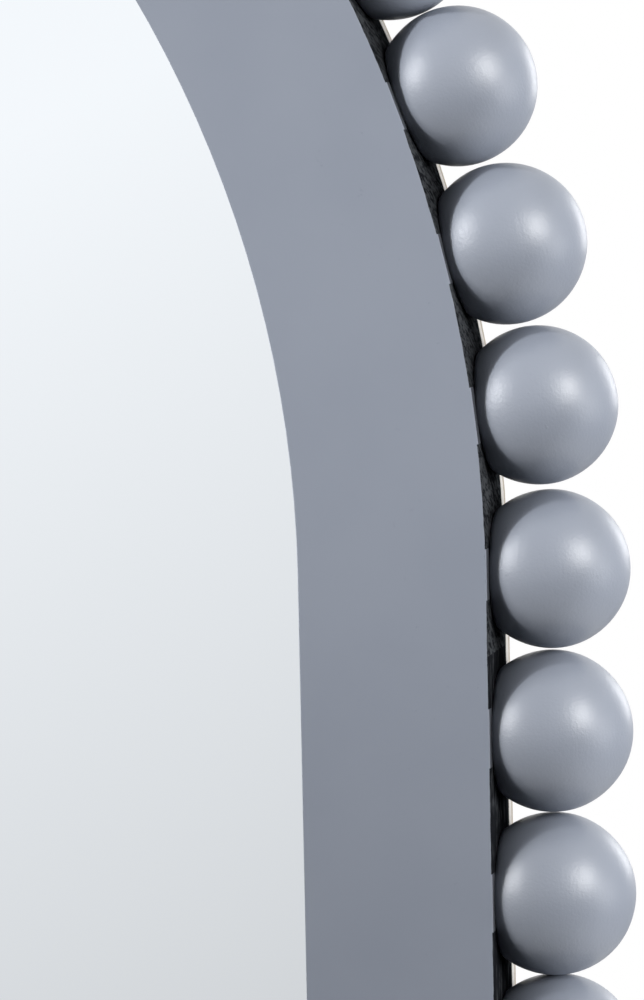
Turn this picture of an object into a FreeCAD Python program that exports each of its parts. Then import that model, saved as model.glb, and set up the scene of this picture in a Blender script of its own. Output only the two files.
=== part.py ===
# Arch-topped wall mirror with a flat painted frame and a row of turned wooden balls round its rim.
# Millimetres. +Z is up, +X is to the viewer's right and the front faces -Y.
# The origin is on the wall, behind the centre of the arch, so "depth" below means the distance
# from the wall towards the viewer, which is -Y.
import FreeCAD, Part
import os
import Sketcher

# Driving dimensions
SIZES = {
    # balls
    "ball_diameter": 38.0,
    "ball_seat_diameter": 28.0,
    "ball_least_gap": 0.2,
    # dowels that pin the balls to the rim
    "dowel_diameter": 6.0,
    "dowel_in_frame": 9.0,
    "dowel_in_ball": 14.0,
    "dowel_clearance": 0.05,
    "dowel_end_room": 0.5,
    "dowel_corner_wall": 1.0,
    # wooden frame
    "rim_radius": 320.0,
    "side_length": 634.0,
    "band_width": 45.0,
    "frame_depth": 28.0,
    "lip_depth": 8.0,
    "rebate_width": 10.0,
    "arris_radius": 0.4,
    # loose tenons in the frame's joints
    "tenon_length": 40.0,
    "tenon_width": 12.0,
    "tenon_thickness": 8.0,
    "tenon_clearance": 0.05,
    "tenon_end_room": 0.5,
    # glass and the glazing strips behind it
    "glass_thickness": 4.0,
    "glass_edge_room": 1.0,
    "strip_width": 8.0,
    "strip_room": 0.2,
    # back panel and its screws
    "panel_thickness": 6.0,
    "screw_diameter": 3.5,
    "screw_bite": 14.0,
    "screw_head_diameter": 7.0,
    "screw_head_height": 2.2,
    "screw_head_round": 0.8,
    "screw_hole_clearance": 0.25,
    "screw_pilot_clearance": 0.05,
    "screw_end_room": 0.5,
    "rail_screw_drop": 150.0,
    "screw_joint_room": 35.0,
    # hangers
    "hanger_drop": 45.0,
    "strap_width": 14.0,
    "strap_sheet": 0.8,
    "strap_end_round": 5.0,
    "strap_end_margin": 7.0,
    "strap_hole_spacing": 14.0,
    "strap_ring_room": 3.0,
    "ring_wire_diameter": 2.4,
    "ring_width": 22.0,
    "ring_side_length": 3.0,
    "ring_corner_radius": 3.0,
    "ring_pin_clearance": 0.08,
    "ring_strap_room": 0.4,
    # wall bumpers
    "bumper_height": 5.0,
    "bumper_diameter": 12.0,
    "bumper_round": 1.0,
}

# How many screws hold the back panel to each length of the frame
RAIL_SCREWS = 3
ARCH_SCREWS = 2
BOTTOM_SCREWS = 4

# Two lengths that differ by less than this are the same
SAME = 1e-6

doc = FreeCAD.newDocument("arch_mirror")
sheet = doc.addObject("Spreadsheet::Sheet", "Sizes")
for row, (alias, number) in enumerate(SIZES.items(), start=1):
    sheet.set(f"A{row}", alias)
    sheet.set(f"B{row}", str(number))
    sheet.setAlias(f"B{row}", alias)
doc.recompute()

# Worked-out sizes, as formulas on the sheet's cells
BALL_RADIUS = "(Sizes.ball_diameter / 2)"
SEAT_RADIUS = "(Sizes.ball_seat_diameter / 2)"
SEAT_OFFSET = f"sqrt({BALL_RADIUS} ^ 2 - {SEAT_RADIUS} ^ 2)"
BALL_STEP = "(Sizes.ball_diameter + Sizes.ball_least_gap)"
DOWEL_RADIUS = "(Sizes.dowel_diameter / 2)"
DOWEL_BORE = f"({DOWEL_RADIUS} + Sizes.dowel_clearance)"
FRAME_BORE_DEPTH = "(Sizes.dowel_in_frame + Sizes.dowel_end_room)"
BALL_BORE_DEPTH = "(Sizes.dowel_in_ball + Sizes.dowel_end_room)"

# A ball beside a bottom corner clears its neighbour round the corner, and so do their dowels
CORNER_OFFSET = (f"max({BALL_STEP} / sqrt(2) - {SEAT_OFFSET}; "
                 f"{FRAME_BORE_DEPTH} + {DOWEL_BORE} + Sizes.dowel_corner_wall)")
ARCH_STEPS = f"floor(pi * (Sizes.rim_radius + {SEAT_OFFSET}) / {BALL_STEP})"
SIDE_STEPS = f"floor((Sizes.side_length - {CORNER_OFFSET}) / {BALL_STEP})"
BOTTOM_SPAN = f"(2 * (Sizes.rim_radius - {CORNER_OFFSET}))"
BOTTOM_STEPS = f"floor({BOTTOM_SPAN} / {BALL_STEP})"
BOTTOM_PITCH = f"({BOTTOM_SPAN} / {BOTTOM_STEPS})"
ARCH_PITCH = f"(180 / {ARCH_STEPS})"
SIDE_PITCH = f"((Sizes.side_length - {CORNER_OFFSET}) / {SIDE_STEPS})"

# Frame joints fall midway between two balls
ARCH_SIDE_BALLS = f"floor({ARCH_STEPS} / 3)"
CROWN_BALLS = f"({ARCH_STEPS} + 1 - 2 * {ARCH_SIDE_BALLS})"
TAIL = f"({SIDE_PITCH} / 2)"
ARCH_JOINT_ANGLE = f"(({ARCH_SIDE_BALLS} - 0.5) * {ARCH_PITCH})"
CROWN_ANGLE = f"(180 - 2 * {ARCH_JOINT_ANGLE})"

# Depths, from the wall towards the viewer
PANEL_BACK = "Sizes.bumper_height"
FRAME_BACK = f"({PANEL_BACK} + Sizes.panel_thickness)"
FRAME_FRONT = f"({FRAME_BACK} + Sizes.frame_depth)"
FRAME_MIDDLE = f"({FRAME_BACK} + Sizes.frame_depth / 2)"
BALL_MIDDLE = f"(({PANEL_BACK} + {FRAME_FRONT}) / 2)"
GLASS_FRONT = f"({FRAME_FRONT} - Sizes.lip_depth)"
GLASS_BACK = f"({GLASS_FRONT} - Sizes.glass_thickness)"

# Distances in the plane of the wall
SIGHT_RADIUS = "(Sizes.rim_radius - Sizes.band_width)"
REBATE_RADIUS = f"({SIGHT_RADIUS} + Sizes.rebate_width)"
REBATE_BOTTOM = "(Sizes.side_length - Sizes.band_width + Sizes.rebate_width)"
SOLID_WIDTH = "(Sizes.band_width - Sizes.rebate_width)"
FIXING_INSET = f"({SOLID_WIDTH} / 2)"
FIXING_RADIUS = f"(Sizes.rim_radius - {FIXING_INSET})"
TENON_INSET = f"(({FRAME_BORE_DEPTH} + {SOLID_WIDTH} - Sizes.tenon_width) / 2)"

# Hanger sizes
WIRE_RADIUS = "(Sizes.ring_wire_diameter / 2)"
PIN_BORE = f"({WIRE_RADIUS} + Sizes.ring_pin_clearance)"
KNUCKLE_RADIUS = f"({PIN_BORE} + Sizes.strap_sheet)"
PIN_LEVEL = "(-Sizes.hanger_drop)"
RING_REACH = "(Sizes.ring_corner_radius + Sizes.ring_side_length + Sizes.ring_width / 2)"
FIRST_HOLE = f"({RING_REACH} + {WIRE_RADIUS} + Sizes.strap_ring_room + Sizes.screw_head_diameter / 2)"
STRAP_END_ROUND = "min(Sizes.strap_end_round; 0.45 * Sizes.strap_width)"
STRAP_LENGTH = f"({FIRST_HOLE} + Sizes.strap_hole_spacing + Sizes.strap_end_margin)"
PIN_DEPTH = f"({PANEL_BACK} - Sizes.strap_sheet - Sizes.ring_strap_room - {WIRE_RADIUS})"


def worked(formula):
    """The number that a formula on the sheet gives."""
    return float(sheet.evalExpression(formula))


def bind(item, **formulas):
    """Tie properties of an object to formulas on the sheet."""
    for name, formula in formulas.items():
        item.setExpression(name, formula)


def new_body(label):
    body = doc.addObject("PartDesign::Body", label)
    body.Label = label
    return body


def origin_feature(body, role):
    return next(feature for feature in body.Origin.OriginFeatures if feature.Role == role)


def new_sketch(body, plane, offset, turn="0", shift="0"):
    """A sketch parallel to an origin plane, moved along its normal, turned in it and shifted up it."""
    sketch = body.newObject("Sketcher::SketchObject", f"{body.Name}_sketch")
    sketch.AttachmentSupport = [(origin_feature(body, plane), "")]
    sketch.MapMode = "FlatFace"
    sketch.setExpression("AttachmentOffset.Base.y", shift)
    sketch.setExpression("AttachmentOffset.Base.z", offset)
    sketch.setExpression("AttachmentOffset.Rotation.Angle", turn)
    return sketch


def wall_sketch(body, depth, turn="0", shift="0"):
    """A sketch parallel to the wall: its axes are X and Z, and it looks towards the viewer."""
    return new_sketch(body, "XZ_Plane", depth, turn, shift)


def place_point(sketch, shape, point, formulas):
    """Tie a point of a sketch to two formulas, for its distance along and up from the sketch's origin."""
    for axis, formula in zip("XY", formulas):
        number = worked(formula)
        if abs(number) < SAME:
            axis_line = {"X": -2, "Y": -1}[axis]
            sketch.addConstraint(Sketcher.Constraint("PointOnObject", shape, point, axis_line))
            continue
        ends = (-1, 1, shape, point) if number > 0 else (shape, point, -1, 1)
        tied = formula if number > 0 else f"-({formula})"
        add_size(sketch, Sketcher.Constraint(f"Distance{axis}", *ends, abs(number)), tied)


def add_size(sketch, constraint, formula):
    """Add a dimension to a sketch and tie it to a formula."""
    index = sketch.addConstraint(constraint)
    name = f"size_{index}"
    sketch.renameConstraint(index, name)
    sketch.setExpression(f"Constraints.{name}", formula)


def draw_outline(sketch, corners):
    """A closed outline. A corner is (x, y), or (x, y, radius) where a quarter arc leads to the next."""
    points = [FreeCAD.Vector(worked(corner[0]), worked(corner[1])) for corner in corners]
    first = sketch.GeometryCount
    count = len(corners)
    ends = []
    for index, corner in enumerate(corners):
        start, end = points[index], points[(index + 1) % count]
        if len(corner) == 2:
            sketch.addGeometry(Part.LineSegment(start, end))
            ends.append((1, 2))
            continue
        level = abs(points[index - 1].y - start.y) < SAME
        centre = FreeCAD.Vector(start.x, end.y) if level else FreeCAD.Vector(end.x, start.y)
        turns_left = (start - centre).cross(end - centre).z > 0
        middle = centre + ((start + end) * 0.5 - centre).normalize() * (start - centre).Length
        arc = Part.Arc(start, middle, end) if turns_left else Part.Arc(end, middle, start)
        sketch.addGeometry(arc)
        ends.append((1, 2) if turns_left else (2, 1))
        add_size(sketch, Sketcher.Constraint("Radius", first + index, worked(corner[2])), corner[2])
    for index, corner in enumerate(corners):
        following = (index + 1) % count
        sketch.addConstraint(Sketcher.Constraint(
            "Coincident", first + index, ends[index][1], first + following, ends[following][0]))
        place_point(sketch, first + index, ends[index][0], corner[:2])


def draw_circles(sketch, centres, radius):
    for x, y in centres:
        circle = Part.Circle(FreeCAD.Vector(worked(x), worked(y)), FreeCAD.Vector(0, 0, 1), worked(radius))
        index = sketch.addGeometry(circle)
        place_point(sketch, index, 3, (x, y))
        add_size(sketch, Sketcher.Constraint("Radius", index, worked(radius)), radius)


def draw_arch(sketch, radius, bottom):
    """A half circle over two straight sides and a straight bottom."""
    number = worked(radius)
    low = worked(bottom)
    right, left = FreeCAD.Vector(number, 0), FreeCAD.Vector(-number, 0)
    corners = [left, FreeCAD.Vector(-number, -low), FreeCAD.Vector(number, -low), right]
    sketch.addGeometry(Part.Arc(right, FreeCAD.Vector(0, number), left))
    for start, end in zip(corners, corners[1:]):
        sketch.addGeometry(Part.LineSegment(start, end))
    sketch.addConstraint(Sketcher.Constraint("Coincident", 0, 3, -1, 1))
    sketch.addConstraint(Sketcher.Constraint("Coincident", 0, 2, 1, 1))
    sketch.addConstraint(Sketcher.Constraint("Coincident", 1, 2, 2, 1))
    sketch.addConstraint(Sketcher.Constraint("Coincident", 2, 2, 3, 1))
    sketch.addConstraint(Sketcher.Constraint("Coincident", 3, 2, 0, 1))
    sketch.addConstraint(Sketcher.Constraint("PointOnObject", 0, 2, -1))
    place_point(sketch, 0, 1, (radius, "0"))
    place_point(sketch, 1, 2, (f"-{radius}", f"-{bottom}"))
    place_point(sketch, 2, 2, (radius, f"-{bottom}"))


def pad(body, sketch, length, backwards=False):
    feature = body.newObject("PartDesign::Pad", f"{body.Name}_pad")
    feature.Profile = sketch
    feature.Reversed = backwards
    bind(feature, Length=length)
    return feature


def pocket(body, sketch, length, backwards=False):
    """Cut a sketch's outline away, against the sketch's normal unless backwards is set."""
    feature = body.newObject("PartDesign::Pocket", f"{body.Name}_pocket")
    feature.Profile = sketch
    feature.Reversed = backwards
    bind(feature, Length=length)
    return feature


def turn_about(body, kind, sketch, axis, angle="360", backwards=False):
    """A Revolution or a Groove of a sketch."""
    feature = body.newObject(f"PartDesign::{kind}", f"{body.Name}_{kind.lower()}")
    feature.Profile = sketch
    feature.ReferenceAxis = axis
    feature.Reversed = backwards
    bind(feature, Angle=angle)
    return feature


def repeat_round(body, feature, sketch, step, count):
    """Repeat a feature round the arch, in equal angles."""
    pattern = body.newObject("PartDesign::PolarPattern", f"{body.Name}_round")
    pattern.Originals = [feature]
    pattern.Axis = (sketch, ["N_Axis"])
    bind(pattern, Angle=f"{step} * ({count} - 1)", Occurrences=count)
    body.Tip = pattern
    return pattern


def repeat_along(body, feature, sketch, step, count, backwards=False):
    """Repeat a feature up a sketch, in equal steps."""
    pattern = body.newObject("PartDesign::LinearPattern", f"{body.Name}_along")
    pattern.Originals = [feature]
    pattern.Direction = (sketch, ["V_Axis"])
    pattern.Reversed = backwards
    bind(pattern, Length=f"{step} * ({count} - 1)", Occurrences=count)
    body.Tip = pattern
    return pattern


def round_edges(body, feature, radius, chosen):
    """Round the edges of a feature that a test chooses."""
    doc.recompute()
    edges = [f"Edge{index}" for index, edge in enumerate(feature.Shape.Edges, start=1) if chosen(edge)]
    fillet = body.newObject("PartDesign::Fillet", f"{body.Name}_fillet")
    fillet.Base = (feature, edges)
    bind(fillet, Radius=radius)
    return fillet


def mirror_left(source, label):
    """The left-hand copy of a right-hand sub-part."""
    copy = doc.addObject("Part::Mirroring", label)
    copy.Label = label
    copy.Source = source
    copy.Base = FreeCAD.Vector(0, 0, 0)
    copy.Normal = FreeCAD.Vector(1, 0, 0)
    return copy


def polar(radius, angle):
    return (f"{radius} * cos({angle})", f"{radius} * sin({angle})")


class BallRow:
    """A row of balls on the rim.

    rim is the rim's distance from the arch's centre, and turn points the row's sketch out of the rim.
    slide and shift move the sketch along X and Z to the first ball, and the rest follow in equal steps:
    round the arch, or along the sketch. body_turn turns the finished row into place.
    """

    def __init__(self, name, rim, step, count, round_arch=False, turn="0", slide="0", shift="0",
                 backwards=False, body_turn="0"):
        self.name = name
        self.rim = rim
        self.step = step
        self.count = count
        self.round_arch = round_arch
        self.turn = turn
        self.slide = slide
        self.shift = shift
        self.backwards = backwards
        self.body_turn = body_turn

    def sketch(self, body):
        sketch = wall_sketch(body, BALL_MIDDLE, self.turn, self.shift)
        sketch.setExpression("AttachmentOffset.Base.x", self.slide)
        return sketch

    def repeat(self, body, feature, sketch):
        if self.round_arch:
            return repeat_round(body, feature, sketch, self.step, self.count)
        return repeat_along(body, feature, sketch, self.step, self.count, self.backwards)


SIDE_ROW = BallRow("right_side", "Sizes.rim_radius", SIDE_PITCH, SIDE_STEPS,
                   shift=f"-{SIDE_PITCH}", backwards=True)
BOTTOM_ROW = BallRow("bottom", "Sizes.side_length", BOTTOM_PITCH, f"({BOTTOM_STEPS} + 1)",
                     turn="-90", slide=f"-{BOTTOM_SPAN} / 2")
ARCH_ROW = BallRow("arch_right", "Sizes.rim_radius", ARCH_PITCH, ARCH_SIDE_BALLS, round_arch=True)
CROWN_ROW = BallRow("arch_crown", "Sizes.rim_radius", ARCH_PITCH, CROWN_BALLS, round_arch=True,
                    turn=f"({ARCH_PITCH} / 2)", body_turn=ARCH_JOINT_ANGLE)


def turn_body(body, angle):
    """Turn a body about the arch's centre, anticlockwise as the viewer sees it."""
    body.Placement = FreeCAD.Placement(FreeCAD.Vector(), FreeCAD.Rotation(FreeCAD.Vector(0, -1, 0), 1))
    body.setExpression("Placement.Rotation.Angle", angle)


def bore_rim(body, row):
    """The blind holes for a row's dowels."""
    sketch = row.sketch(body)
    floor = f"({row.rim} - {FRAME_BORE_DEPTH})"
    mouth = f"({row.rim} + Sizes.dowel_end_room)"
    draw_outline(sketch, [(floor, "0"), (mouth, "0"), (mouth, DOWEL_BORE), (floor, DOWEL_BORE)])
    bore = turn_about(body, "Groove", sketch, (sketch, ["H_Axis"]))
    return row.repeat(body, bore, sketch)


def make_balls(row):
    """Turned balls with a flat seat on the rim and a blind hole for the dowel."""
    body = new_body(f"balls_{row.name}")
    sketch = row.sketch(body)
    seat, end = row.rim, f"({row.rim} + {BALL_BORE_DEPTH})"
    centre, pole = f"({row.rim} + {SEAT_OFFSET})", f"({row.rim} + {SEAT_OFFSET} + {BALL_RADIUS})"
    corners = [(pole, "0"), (end, "0"), (end, DOWEL_BORE), (seat, DOWEL_BORE), (seat, SEAT_RADIUS)]
    points = [FreeCAD.Vector(worked(x), worked(y)) for x, y in corners]
    for start, finish in zip(points, points[1:]):
        sketch.addGeometry(Part.LineSegment(start, finish))
    top = FreeCAD.Vector(worked(centre), worked(BALL_RADIUS))
    arc = sketch.addGeometry(Part.Arc(points[0], top, points[-1]))
    for index in range(arc - 1):
        sketch.addConstraint(Sketcher.Constraint("Coincident", index, 2, index + 1, 1))
        place_point(sketch, index, 2, corners[index + 1])
    sketch.addConstraint(Sketcher.Constraint("Coincident", arc - 1, 2, arc, 2))
    place_point(sketch, arc, 2, corners[-1])
    sketch.addConstraint(Sketcher.Constraint("Coincident", arc, 1, 0, 1))
    sketch.addConstraint(Sketcher.Constraint("PointOnObject", 0, 1, -1))
    place_point(sketch, arc, 3, (centre, "0"))
    ball = turn_about(body, "Revolution", sketch, (sketch, ["H_Axis"]))
    row.repeat(body, ball, sketch)
    turn_body(body, row.body_turn)
    return body


def make_dowels(row):
    """Dowels, half in the rim and half in the balls."""
    body = new_body(f"dowels_{row.name}")
    sketch = row.sketch(body)
    inner, outer = f"({row.rim} - Sizes.dowel_in_frame)", f"({row.rim} + Sizes.dowel_in_ball)"
    draw_outline(sketch, [(inner, "0"), (outer, "0"), (outer, DOWEL_RADIUS), (inner, DOWEL_RADIUS)])
    dowel = turn_about(body, "Revolution", sketch, (sketch, ["H_Axis"]))
    row.repeat(body, dowel, sketch)
    turn_body(body, row.body_turn)
    return body


# Frame: the same section all round, with eased front edges and a rebate behind for the glass
def section_corners(rim):
    """The frame's section as (distance out, Y), from the glass's seat round the front to the back."""
    inner, bed = f"({rim} - Sizes.band_width)", f"({rim} - {SOLID_WIDTH})"
    arris = "Sizes.arris_radius"
    eased = f"-({FRAME_FRONT} - {arris})"
    front, back, glass = f"-{FRAME_FRONT}", f"-{FRAME_BACK}", f"-{GLASS_FRONT}"
    return [(inner, glass), (inner, eased, arris), (f"({inner} + {arris})", front),
            (f"({rim} - {arris})", front, arris), (rim, eased), (rim, back), (bed, back), (bed, glass)]


def cut_mortise(body, along, out, turn="0"):
    """A blind slot for a tenon: along and out are the spans along the joint and across the band."""
    sketch = wall_sketch(body, f"({FRAME_MIDDLE} + Sizes.tenon_thickness / 2 + Sizes.tenon_clearance)", turn)
    draw_outline(sketch, [(out[0], along[0]), (out[1], along[0]), (out[1], along[1]), (out[0], along[1])])
    return pocket(body, sketch, "Sizes.tenon_thickness + 2 * Sizes.tenon_clearance")


def tenon_out(room):
    """Where a tenon lies across the band, with room added on each side."""
    outer = f"(Sizes.rim_radius - {TENON_INSET} + {room})"
    return (f"(Sizes.rim_radius - {TENON_INSET} - Sizes.tenon_width - {room})", outer)


def tenon_along(middle, room):
    """Where a tenon lies along the frame, centred on a joint, with room added at each end."""
    half = f"(Sizes.tenon_length / 2 + {room})"
    return (f"({middle} - {half})", f"({middle} + {half})")


def key_span(room):
    """A square key's span in from each of the two rims at a bottom corner."""
    return (f"({TENON_INSET} - {room})", f"({TENON_INSET} + Sizes.tenon_width + {room})")


def key_corners(room, side="1"):
    near, far = key_span(room)
    out = [f"{side} * (Sizes.rim_radius - {inset})" for inset in (far, near)]
    down = [f"-(Sizes.side_length - {inset})" for inset in (near, far)]
    return [(out[0], down[0]), (out[1], down[0]), (out[1], down[1]), (out[0], down[1])]


def cut_key_slot(body, side="1"):
    sketch = wall_sketch(body, f"({FRAME_MIDDLE} + Sizes.tenon_thickness / 2 + Sizes.tenon_clearance)")
    draw_outline(sketch, key_corners("Sizes.tenon_clearance", side))
    return pocket(body, sketch, "Sizes.tenon_thickness + 2 * Sizes.tenon_clearance")


def drill_pilots(body, centres):
    """Pilot holes for screws, from the back of the frame."""
    sketch = wall_sketch(body, FRAME_BACK)
    draw_circles(sketch, centres, "(Sizes.screw_diameter / 2 + Sizes.screw_pilot_clearance)")
    return pocket(body, sketch, "Sizes.screw_bite + Sizes.screw_end_room", backwards=True)


def spread(first, last, count):
    """Evenly spaced formulas from first to last."""
    return [f"({first} + ({last} - {first}) * {index} / {count - 1})" for index in range(count)]


def arch_screw_angles(angle):
    return [f"({angle} * {2 * index + 1} / {2 * ARCH_SCREWS})" for index in range(ARCH_SCREWS)]


RAIL_SCREW_DROPS = spread("Sizes.rail_screw_drop",
                          "(Sizes.side_length - Sizes.band_width - Sizes.screw_joint_room)", RAIL_SCREWS)
RAIL_SCREW_SPOTS = [(FIXING_RADIUS, f"-{drop}") for drop in RAIL_SCREW_DROPS]
BOTTOM_SCREW_REACH = f"({SIGHT_RADIUS} - Sizes.screw_joint_room)"
BOTTOM_SCREW_SPOTS = [(across, f"-(Sizes.side_length - {FIXING_INSET})")
                      for across in spread(f"(-{BOTTOM_SCREW_REACH})", BOTTOM_SCREW_REACH, BOTTOM_SCREWS)]
ARCH_SCREW_SPOTS = [polar(FIXING_RADIUS, angle) for angle in arch_screw_angles(ARCH_JOINT_ANGLE)]
CROWN_SCREW_ANGLES = arch_screw_angles(CROWN_ANGLE)
STRAP_HOLE_DROPS = [f"(Sizes.hanger_drop + {FIRST_HOLE} + Sizes.strap_hole_spacing * {index})"
                    for index in range(2)]
STRAP_SCREW_SPOTS = [(FIXING_RADIUS, f"-{drop}") for drop in STRAP_HOLE_DROPS]


def mirrored(spots):
    return [(f"(-{x})", y) for x, y in spots]


def make_side_rail():
    body = new_body("right_side_rail")
    section = new_sketch(body, "XY_Plane", f"-{TAIL}")
    draw_outline(section, section_corners("Sizes.rim_radius"))
    pad(body, section, f"Sizes.side_length - {TAIL}", backwards=True)
    mitre = wall_sketch(body, FRAME_FRONT)
    draw_outline(mitre, [("Sizes.rim_radius", "-Sizes.side_length"),
                         (SIGHT_RADIUS, "-(Sizes.side_length - Sizes.band_width)"),
                         (SIGHT_RADIUS, "-Sizes.side_length")])
    pocket(body, mitre, "Sizes.frame_depth")
    cut_mortise(body, tenon_along(f"(-{TAIL})", "Sizes.tenon_end_room"), tenon_out("Sizes.tenon_clearance"))
    cut_key_slot(body)
    drill_pilots(body, RAIL_SCREW_SPOTS + STRAP_SCREW_SPOTS)
    bore_rim(body, SIDE_ROW)
    return body


def make_bottom_rail():
    body = new_body("bottom_rail")
    section = new_sketch(body, "YZ_Plane", "-Sizes.rim_radius")
    corners = [(corner[1], f"-{corner[0]}", *corner[2:]) for corner in section_corners("Sizes.side_length")]
    draw_outline(section, corners)
    pad(body, section, "2 * Sizes.rim_radius")
    for side in ("1", "(-1)"):
        mitre = wall_sketch(body, FRAME_FRONT)
        draw_outline(mitre, [(f"{side} * Sizes.rim_radius", "-Sizes.side_length"),
                             (f"{side} * {SIGHT_RADIUS}", "-(Sizes.side_length - Sizes.band_width)"),
                             (f"{side} * Sizes.rim_radius", "-(Sizes.side_length - Sizes.band_width)")])
        pocket(body, mitre, "Sizes.frame_depth")
        cut_key_slot(body, side)
    drill_pilots(body, BOTTOM_SCREW_SPOTS)
    bore_rim(body, BOTTOM_ROW)
    return body


def sweep_section(body, angle):
    """The frame's section, swept round the arch's centre from the right-hand side upwards."""
    section = new_sketch(body, "XY_Plane", "0")
    draw_outline(section, section_corners("Sizes.rim_radius"))
    axis = (origin_feature(body, "Y_Axis"), [""])
    return turn_about(body, "Revolution", section, axis, angle, backwards=True)


def make_arch_side():
    """The arch's right-hand segment, with a short straight tail below the springing line."""
    body = new_body("arch_right")
    sweep_section(body, ARCH_JOINT_ANGLE)
    tail = new_sketch(body, "XY_Plane", "0")
    draw_outline(tail, section_corners("Sizes.rim_radius"))
    pad(body, tail, TAIL, backwards=True)
    out = tenon_out("Sizes.tenon_clearance")
    cut_mortise(body, tenon_along(f"(-{TAIL})", "Sizes.tenon_end_room"), out)
    cut_mortise(body, tenon_along("0", "Sizes.tenon_end_room"), out, ARCH_JOINT_ANGLE)
    drill_pilots(body, ARCH_SCREW_SPOTS)
    bore_rim(body, ARCH_ROW)
    return body


def make_arch_crown():
    """The arch's middle segment, drawn from its right-hand end and turned into place."""
    body = new_body("arch_crown")
    sweep_section(body, CROWN_ANGLE)
    for turn in ("0", CROWN_ANGLE):
        cut_mortise(body, tenon_along("0", "Sizes.tenon_end_room"), tenon_out("Sizes.tenon_clearance"), turn)
    drill_pilots(body, [polar(FIXING_RADIUS, angle) for angle in CROWN_SCREW_ANGLES])
    bore_rim(body, CROWN_ROW)
    turn_body(body, ARCH_JOINT_ANGLE)
    return body


def make_tenons():
    """Loose tenons of the right-hand joints, and the square key of the right-hand mitre."""
    body = new_body("right_frame_tenons")
    depth = f"({FRAME_MIDDLE} - Sizes.tenon_thickness / 2)"
    out = tenon_out("0")
    for middle, turn in ((f"(-{TAIL})", "0"), ("0", ARCH_JOINT_ANGLE)):
        sketch = wall_sketch(body, depth, turn)
        along = tenon_along(middle, "0")
        draw_outline(sketch, [(out[0], along[0]), (out[1], along[0]), (out[1], along[1]), (out[0], along[1])])
        pad(body, sketch, "Sizes.tenon_thickness")
    key = wall_sketch(body, depth)
    draw_outline(key, key_corners("0"))
    pad(body, key, "Sizes.tenon_thickness")
    return body


# Glass, the glazing strips that hold it from behind, and the back panel
def make_glass():
    body = new_body("mirror_glass")
    sketch = wall_sketch(body, GLASS_BACK)
    edges = [f"({rebate} - Sizes.glass_edge_room)" for rebate in (REBATE_RADIUS, REBATE_BOTTOM)]
    draw_arch(sketch, *edges)
    pad(body, sketch, "Sizes.glass_thickness")
    return body


STRIP_OUT = (f"({REBATE_RADIUS} - Sizes.strip_room - Sizes.strip_width)",
             f"({REBATE_RADIUS} - Sizes.strip_room)")
STRIP_FOOT = f"({REBATE_BOTTOM} - Sizes.strip_room)"


def make_side_strip():
    body = new_body("glazing_strip_right")
    sketch = wall_sketch(body, FRAME_BACK)
    draw_outline(sketch, [(STRIP_OUT[0], "0"), (STRIP_OUT[0], f"-{STRIP_FOOT}"),
                          (STRIP_OUT[1], f"-{STRIP_FOOT}"), (STRIP_OUT[1], "0")])
    pad(body, sketch, f"{GLASS_BACK} - {FRAME_BACK}")
    return body


def make_bottom_strip():
    """The bottom strip, which butts against the side strips."""
    body = new_body("glazing_strip_bottom")
    sketch = wall_sketch(body, FRAME_BACK)
    top = f"-({STRIP_FOOT} - Sizes.strip_width)"
    draw_outline(sketch, [(f"-{STRIP_OUT[0]}", top), (f"-{STRIP_OUT[0]}", f"-{STRIP_FOOT}"),
                          (STRIP_OUT[0], f"-{STRIP_FOOT}"), (STRIP_OUT[0], top)])
    pad(body, sketch, f"{GLASS_BACK} - {FRAME_BACK}")
    return body


def make_arch_strip():
    """A quarter-circle strip, from the springing line to the crown."""
    body = new_body("glazing_strip_arch_right")
    section = new_sketch(body, "XY_Plane", "0")
    draw_outline(section, [(STRIP_OUT[0], f"-{GLASS_BACK}"), (STRIP_OUT[1], f"-{GLASS_BACK}"),
                           (STRIP_OUT[1], f"-{FRAME_BACK}"), (STRIP_OUT[0], f"-{FRAME_BACK}")])
    turn_about(body, "Revolution", section, (origin_feature(body, "Y_Axis"), [""]), "90", backwards=True)
    return body


RIGHT_SPOTS = RAIL_SCREW_SPOTS + ARCH_SCREW_SPOTS
CROWN_SPOTS = [polar(FIXING_RADIUS, f"({ARCH_JOINT_ANGLE} + {angle})") for angle in CROWN_SCREW_ANGLES]
PANEL_SCREW_SPOTS = RIGHT_SPOTS + mirrored(RIGHT_SPOTS) + CROWN_SPOTS + BOTTOM_SCREW_SPOTS
HANGER_SCREW_SPOTS = STRAP_SCREW_SPOTS + mirrored(STRAP_SCREW_SPOTS)
SCREW_HOLE = "(Sizes.screw_diameter / 2 + Sizes.screw_hole_clearance)"


def make_back_panel():
    body = new_body("back_panel")
    outline = wall_sketch(body, PANEL_BACK)
    draw_arch(outline, "Sizes.rim_radius", "Sizes.side_length")
    pad(body, outline, "Sizes.panel_thickness")
    holes = wall_sketch(body, FRAME_BACK)
    draw_circles(holes, PANEL_SCREW_SPOTS + HANGER_SCREW_SPOTS, SCREW_HOLE)
    pocket(body, holes, "Sizes.panel_thickness")
    return body


def make_screws(label, spots, seat):
    """Pan-headed wood screws, driven from behind with their heads on a seat at the given depth."""
    body = new_body(label)
    heads = wall_sketch(body, seat)
    draw_circles(heads, spots, "(Sizes.screw_head_diameter / 2)")
    head = pad(body, heads, "Sizes.screw_head_height", backwards=True)
    top = -(worked(seat) - worked("Sizes.screw_head_height"))
    round_edges(body, head, "Sizes.screw_head_round",
                lambda edge: abs(edge.BoundBox.YMin - top) < SAME and abs(edge.BoundBox.YMax - top) < SAME)
    shanks = wall_sketch(body, seat)
    draw_circles(shanks, spots, "(Sizes.screw_diameter / 2)")
    pad(body, shanks, f"{FRAME_BACK} + Sizes.screw_bite - {seat}")
    return body


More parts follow.
